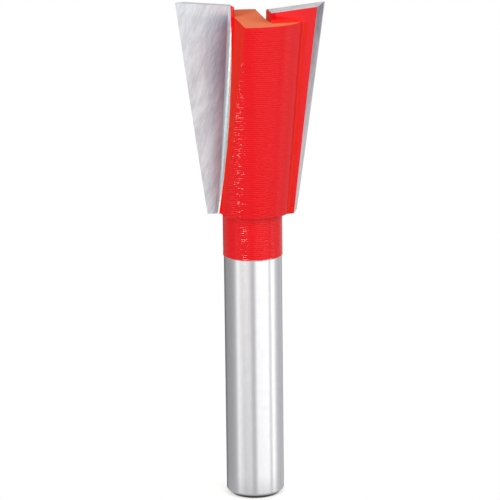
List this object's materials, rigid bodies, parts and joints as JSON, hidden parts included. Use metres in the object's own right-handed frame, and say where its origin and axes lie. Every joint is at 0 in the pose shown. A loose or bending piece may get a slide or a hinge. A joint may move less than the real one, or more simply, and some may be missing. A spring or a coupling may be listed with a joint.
{
  "type": "dovetail cutter",
  "caption": "Dovetail router bit: round shank, turned conical steel head and brazed carbide tips that cut an undercut, flat-bottomed groove.",
  "frame": {"origin": "centre of the shank's flat end face, on which the cutter stands", "axes": "+Z along the cutter's axis, from the shank's end to the cutting end; the tips' outer corners lie on -X (tip a) and +X (tip b); it cuts when turned counter-clockwise as seen looking down on the cutting end"},
  "size_m": [0.016, 0.0124, 0.055],
  "materials": {
    "body": "gloss red enamel over turned steel on the head and neck; the shank and the ground bands beside the tips are bare steel",
    "carbide": "tungsten carbide, ground bright on the face, the clearance and the end; red enamel left on the back and the inner side",
    "braze": "silver braze, ground flush with the face"
  },
  "bodies": {
    "root": {"cutter_body": "body", "carbide_tip_a": "carbide", "carbide_tip_b": "carbide", "braze_seam_a": "braze", "braze_seam_b": "braze"}
  },
  "joints": []
}
